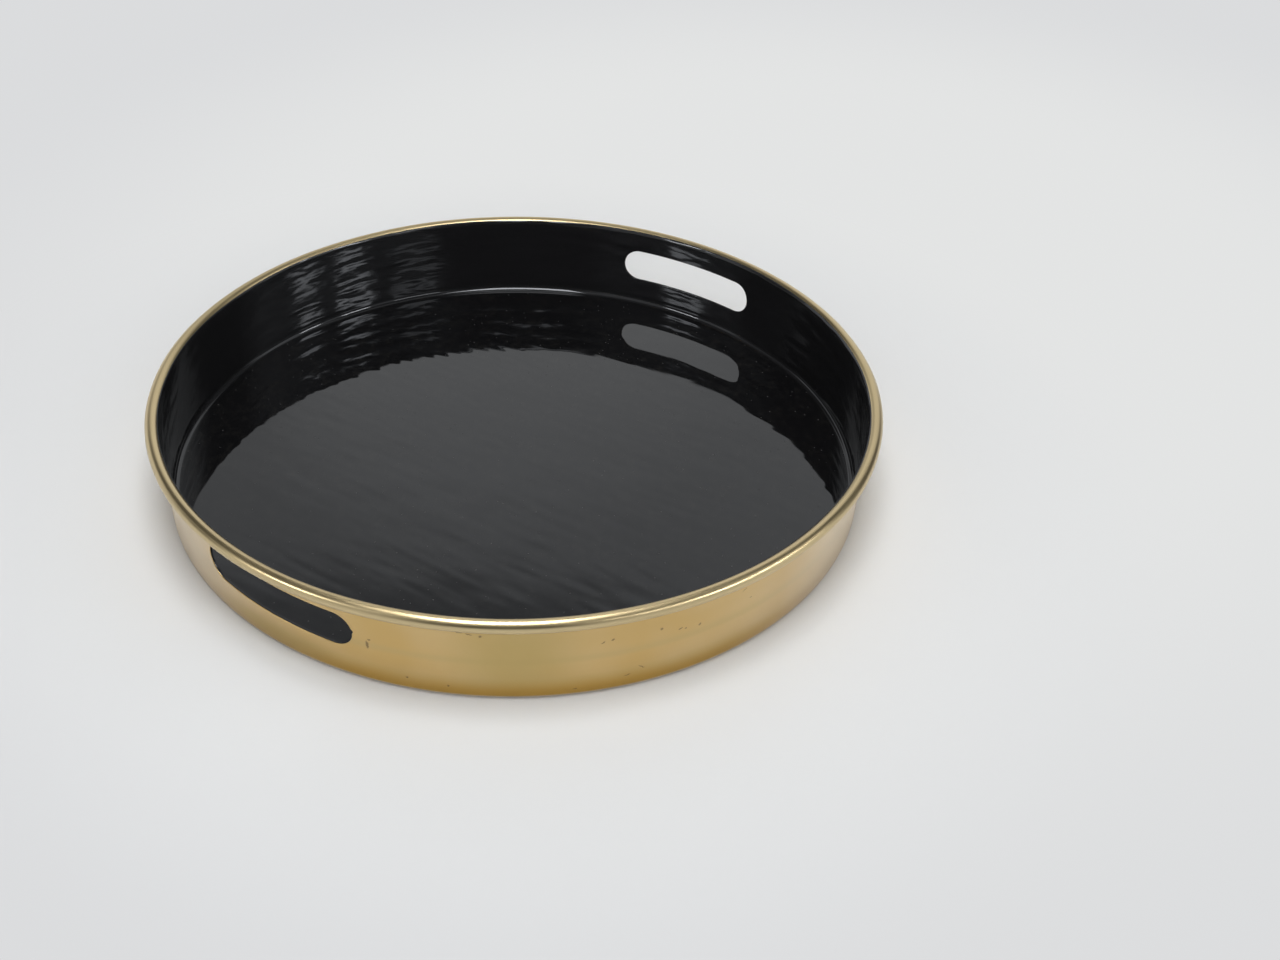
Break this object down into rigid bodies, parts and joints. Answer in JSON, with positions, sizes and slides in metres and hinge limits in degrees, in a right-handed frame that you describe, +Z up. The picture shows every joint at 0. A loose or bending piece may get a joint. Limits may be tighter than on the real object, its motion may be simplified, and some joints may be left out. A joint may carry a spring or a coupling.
{
  "type": "serving tray",
  "caption": "Round serving tray with a low leaning wall, a rolled and wired rim, opposed hand slots cut through the wall, and an enamelled inside.",
  "frame": {"origin": "centre of the tray on the surface that it stands on", "axes": "+Z up along the tray's axis, +X through the middle of one hand slot, so the slots lie at +X and -X"},
  "size_m": [0.376, 0.3758, 0.0505],
  "materials": {
    "gold_metal": "satin, spun, lightly marked",
    "black_enamel": "gloss, slightly rippled",
    "drawn_wire": "bare drawn wire"
  },
  "bodies": {
    "root": {"tray_pan": "gold_metal", "enamel_lining": "black_enamel", "rim_wire": "drawn_wire"}
  },
  "joints": []
}
